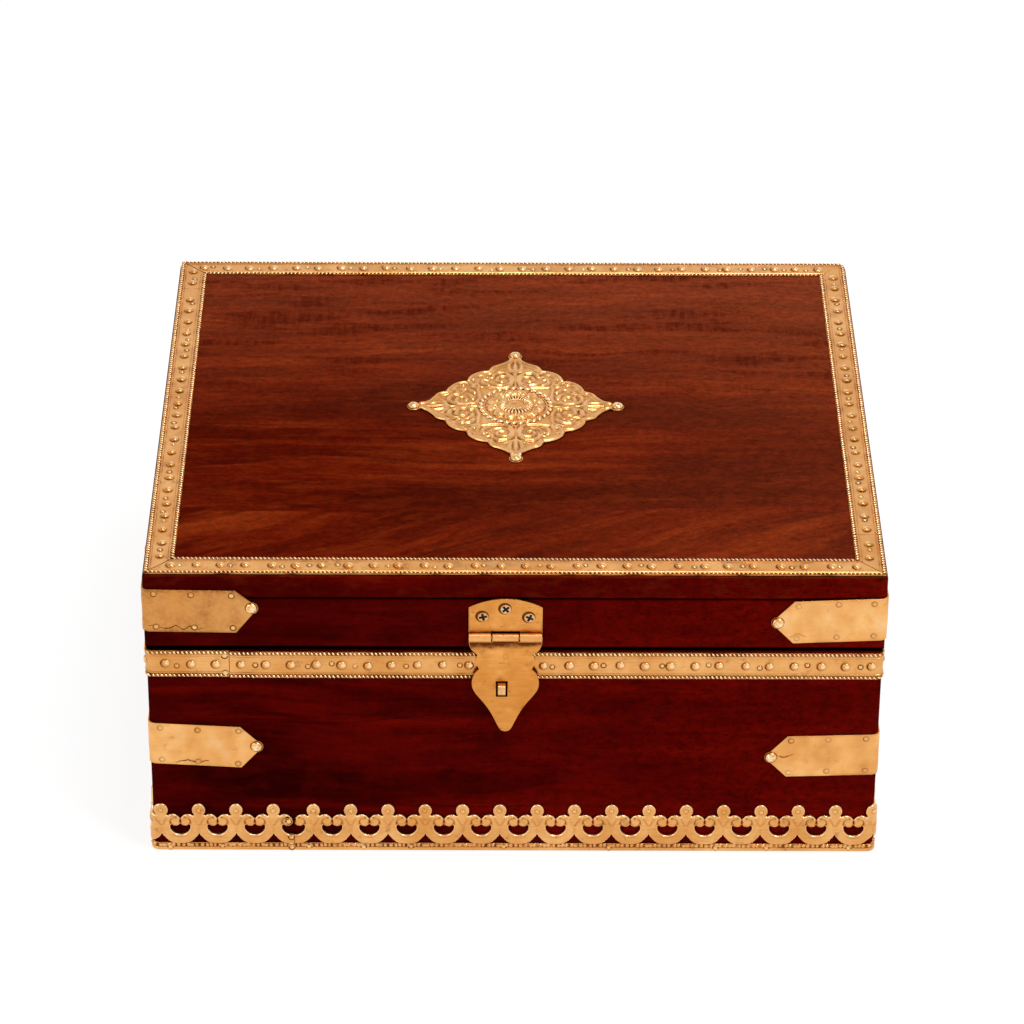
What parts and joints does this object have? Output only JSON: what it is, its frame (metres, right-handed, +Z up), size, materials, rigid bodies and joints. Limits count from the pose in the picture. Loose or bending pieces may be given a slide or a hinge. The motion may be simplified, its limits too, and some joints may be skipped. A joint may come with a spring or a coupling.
{
  "type": "brass-bound lidded box",
  "caption": "Wooden dowry box with a lift-up lid, embossed brass strips, corner straps, a pierced brass gallery round its foot, and a hasp that closes over a staple.",
  "frame": {"origin": "middle of the underside of the base", "axes": "+X to the right and +Y to the back as seen from the front, +Z up"},
  "size_m": [0.3874, 0.3474, 0.1758],
  "materials": {
    "wood": "satin lacquer",
    "lid_wood": "satin lacquer",
    "embossed_brass": "embossed, lightly tarnished",
    "plain_brass": "brushed",
    "nails": "polished",
    "screws": "satin"
  },
  "bodies": {
    "base": {"base_back_board": "wood", "base_front_board": "wood", "base_left_board": "wood", "base_right_board": "wood", "bottom_board": "wood", "gallery_back_left": "embossed_brass", "gallery_front_right": "embossed_brass", "hinge_base_leaf_left": "plain_brass", "hinge_base_leaf_right": "plain_brass", "hinge_base_screws": "screws", "hinge_pin_left": "screws", "hinge_pin_right": "screws", "rim_strip_back_left": "embossed_brass", "rim_strip_front_right": "embossed_brass", "staple": "plain_brass", "strap_base_back_left": "plain_brass", "strap_base_back_right": "plain_brass", "strap_base_front_left": "plain_brass", "strap_base_front_right": "plain_brass", "strap_base_nails": "nails"},
    "lid": {"hasp_leaf": "plain_brass", "hasp_pin": "screws", "hasp_screws": "screws", "hinge_lid_leaf_left": "plain_brass", "hinge_lid_leaf_right": "plain_brass", "hinge_lid_screws": "screws", "lid_back_rail": "wood", "lid_front_rail": "wood", "lid_left_rail": "wood", "lid_right_rail": "wood", "lid_top_board": "lid_wood", "medallion": "embossed_brass", "medallion_nails": "nails", "strap_lid_back_left": "plain_brass", "strap_lid_back_right": "plain_brass", "strap_lid_front_left": "plain_brass", "strap_lid_front_right": "plain_brass", "strap_lid_nails": "nails", "top_strip_back_right": "embossed_brass", "top_strip_front": "embossed_brass", "top_strip_left": "embossed_brass", "top_strip_left_patch": "embossed_brass", "top_strip_right_patch": "embossed_brass"},
    "hasp": {"hasp_plate": "plain_brass"}
  },
  "joints": [
    {"name": "lid_hinge", "type": "hinge", "parent": "base", "child": "lid", "pos_m": [0, 0.167, 0.1272], "axis": [-1, 0, 0], "range_deg": [0, 105]},
    {"name": "hasp_hinge", "type": "hinge", "parent": "lid", "child": "hasp", "pos_m": [-0.0048, -0.1713, 0.1362], "axis": [-1, 0, 0], "range_deg": [0, 170]}
  ]
}
